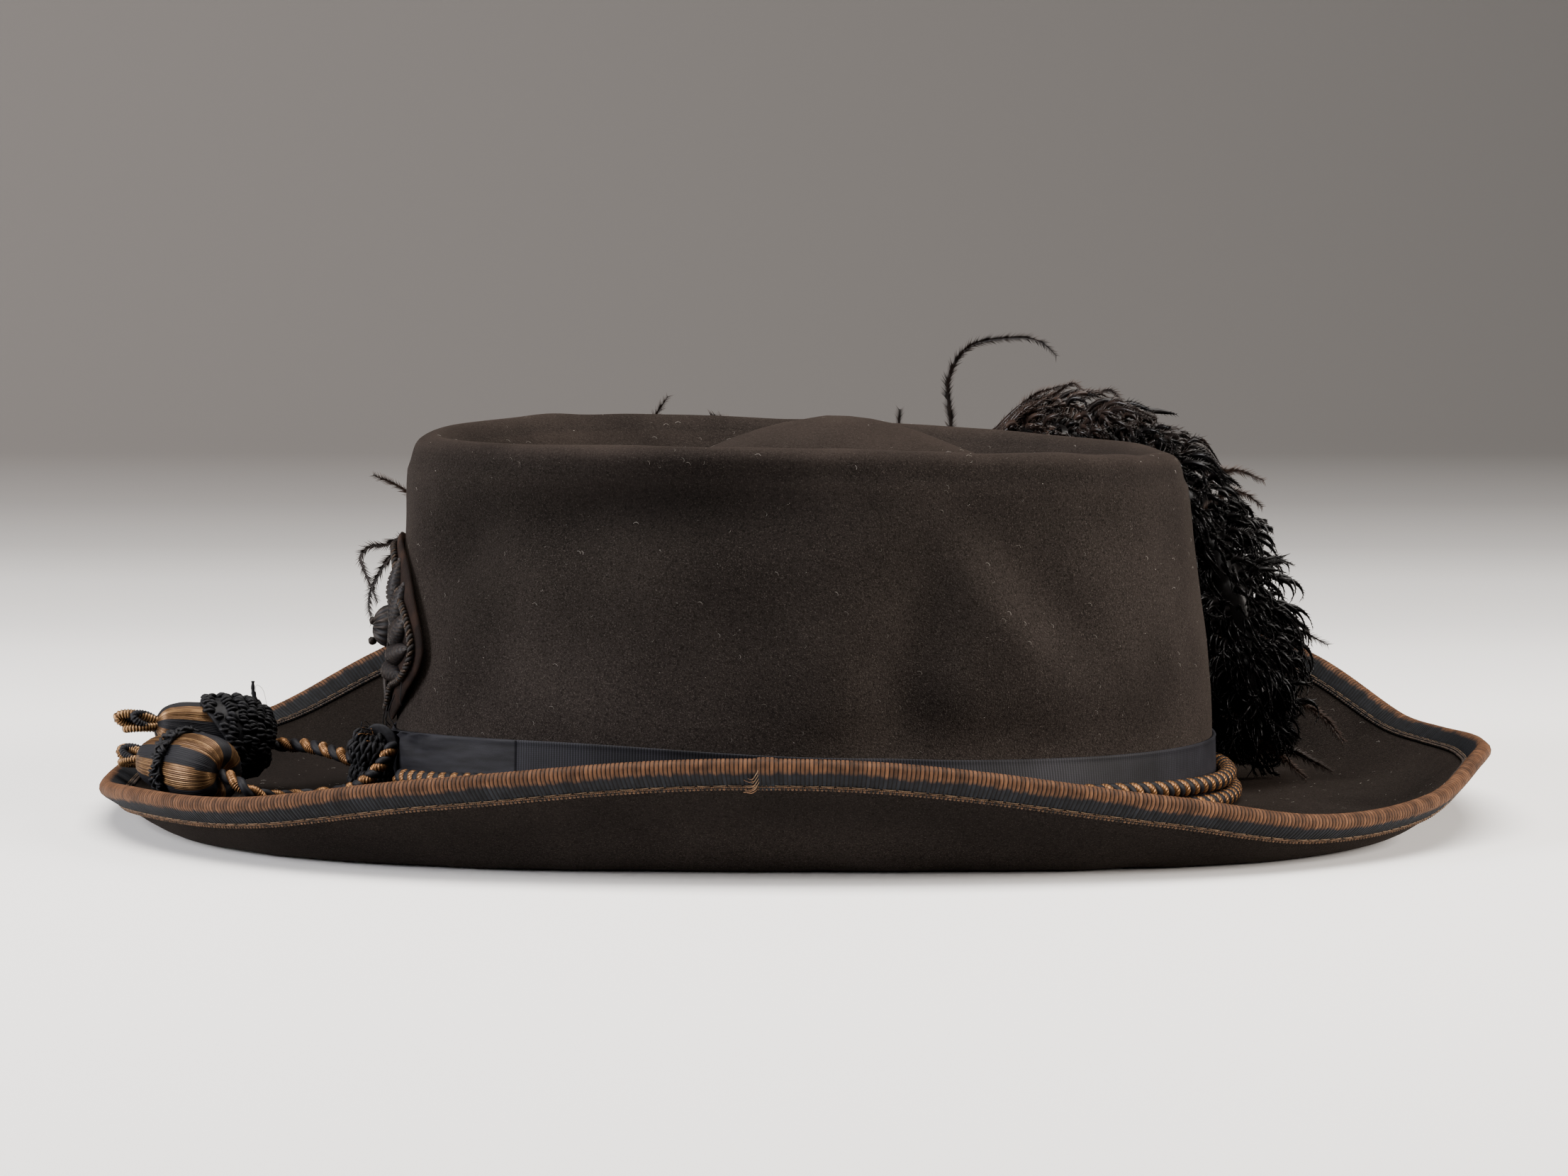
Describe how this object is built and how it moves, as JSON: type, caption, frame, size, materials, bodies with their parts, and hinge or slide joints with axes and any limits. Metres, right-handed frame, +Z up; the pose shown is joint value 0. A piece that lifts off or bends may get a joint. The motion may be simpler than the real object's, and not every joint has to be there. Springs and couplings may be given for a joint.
{
  "type": "slouch hat",
  "caption": "Soft felt hat with a telescoped crown and a brim rolled up at both sides, ribbon-bound, dressed with a hat cord, acorns, an oval badge and a curled plume.",
  "frame": {"origin": "on the table, under the middle of the hat's box", "axes": "+Z up, -X to the front of the hat, +X to its back, +Y to the plume side"},
  "size_m": [0.3428, 0.2778, 0.1021],
  "materials": {
    "felt": "matt brushed fur felt, dusty and worn",
    "binding_ribbon": "ribbed ribbon, worn to copper brown at the fold",
    "band_ribbon": "fine ribbed silk ribbon",
    "badge_velvet": "velvet with metal-thread work",
    "feather": "curled ostrich barbs",
    "twisted_cord": "twisted black silk and metal-wound strands",
    "wound_thread": "striped metal and silk thread",
    "black_braid": "black crocheted silk"
  },
  "bodies": {
    "root": {"felt_body": "felt", "brim_binding": "binding_ribbon", "ribbon_band": "band_ribbon", "front_badge": "badge_velvet", "plume": "feather", "hat_cord_lower": "twisted_cord", "hat_cord_upper": "twisted_cord", "cord_slide": "black_braid", "cord_end_far": "twisted_cord", "cord_end_near": "twisted_cord", "acorn_far": "wound_thread", "acorn_far_net": "black_braid", "acorn_near": "wound_thread", "acorn_near_net": "black_braid"}
  },
  "joints": []
}
